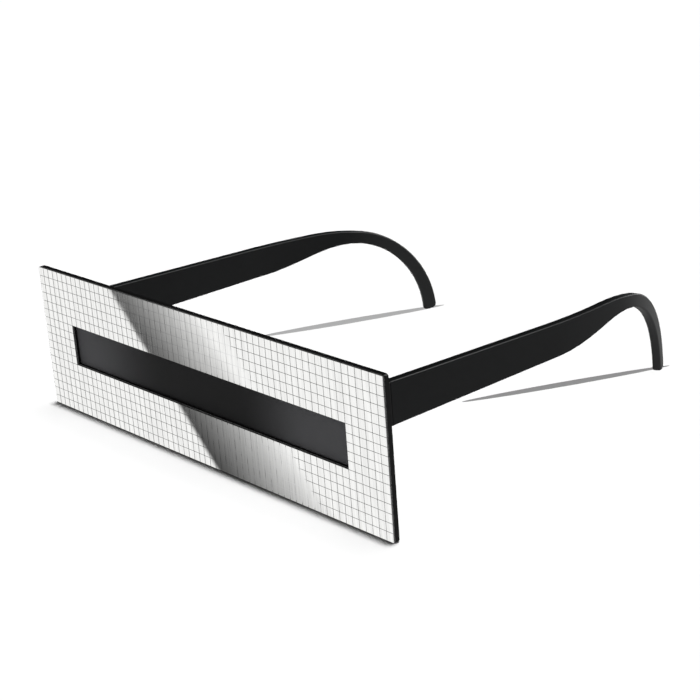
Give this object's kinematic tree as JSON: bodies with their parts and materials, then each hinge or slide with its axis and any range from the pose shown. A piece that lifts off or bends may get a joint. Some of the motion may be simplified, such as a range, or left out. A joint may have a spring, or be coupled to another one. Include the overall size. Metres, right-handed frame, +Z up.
{
  "type": "sunglasses",
  "caption": "Flat rectangular sunglasses faced with a mirror mosaic, with a long narrow slot over a smoke lens and folding black arms.",
  "frame": {"origin": "middle of the front plate's bottom edge, midway through the plate, on the surface that the glasses stand on", "axes": "+X to the wearer's left along the front, +Y from the front towards the tips of the open arms, +Z up"},
  "size_m": [0.15, 0.1335, 0.0428],
  "materials": {
    "mirror_tile": "small silvered glass tiles",
    "mosaic_film": "dark backing film, matt",
    "plate_plastic": "black sheet plastic, satin",
    "smoke_lens": "dark smoke lens, smooth",
    "frame_plastic": "moulded black plastic, satin",
    "clear_silicone": "soft translucent silicone",
    "hinge_steel": "stamped steel, satin",
    "screw_steel": "turned steel, polished",
    "arm_plastic": "moulded black plastic, satin",
    "core_steel": "drawn wire"
  },
  "bodies": {
    "front": {"mirror_tiles": "mirror_tile", "mosaic_film": "mosaic_film", "front_plate": "plate_plastic", "smoke_lens": "smoke_lens", "inner_frame": "frame_plastic", "left_nose_pad": "clear_silicone", "right_nose_pad": "clear_silicone", "left_front_leaf": "hinge_steel", "right_front_leaf": "hinge_steel", "left_front_leaf_screws": "screw_steel", "right_front_leaf_screws": "screw_steel", "left_hinge_screw": "screw_steel", "right_hinge_screw": "screw_steel"},
    "left_arm": {"left_temple": "arm_plastic", "left_temple_core": "core_steel", "left_temple_leaf": "hinge_steel", "left_temple_leaf_screws": "screw_steel"},
    "right_arm": {"right_temple": "arm_plastic", "right_temple_core": "core_steel", "right_temple_leaf": "hinge_steel", "right_temple_leaf_screws": "screw_steel"}
  },
  "joints": [
    {"name": "left_temple_fold", "type": "hinge", "parent": "front", "child": "left_arm", "pos_m": [0.05975, 0.0111, 0.0292], "axis": [0, 0, 1], "range_deg": [0, 87]},
    {"name": "right_temple_fold", "type": "hinge", "parent": "front", "child": "right_arm", "pos_m": [-0.05975, 0.0111, 0.0292], "axis": [0, 0, -1], "range_deg": [0, 76]}
  ]
}
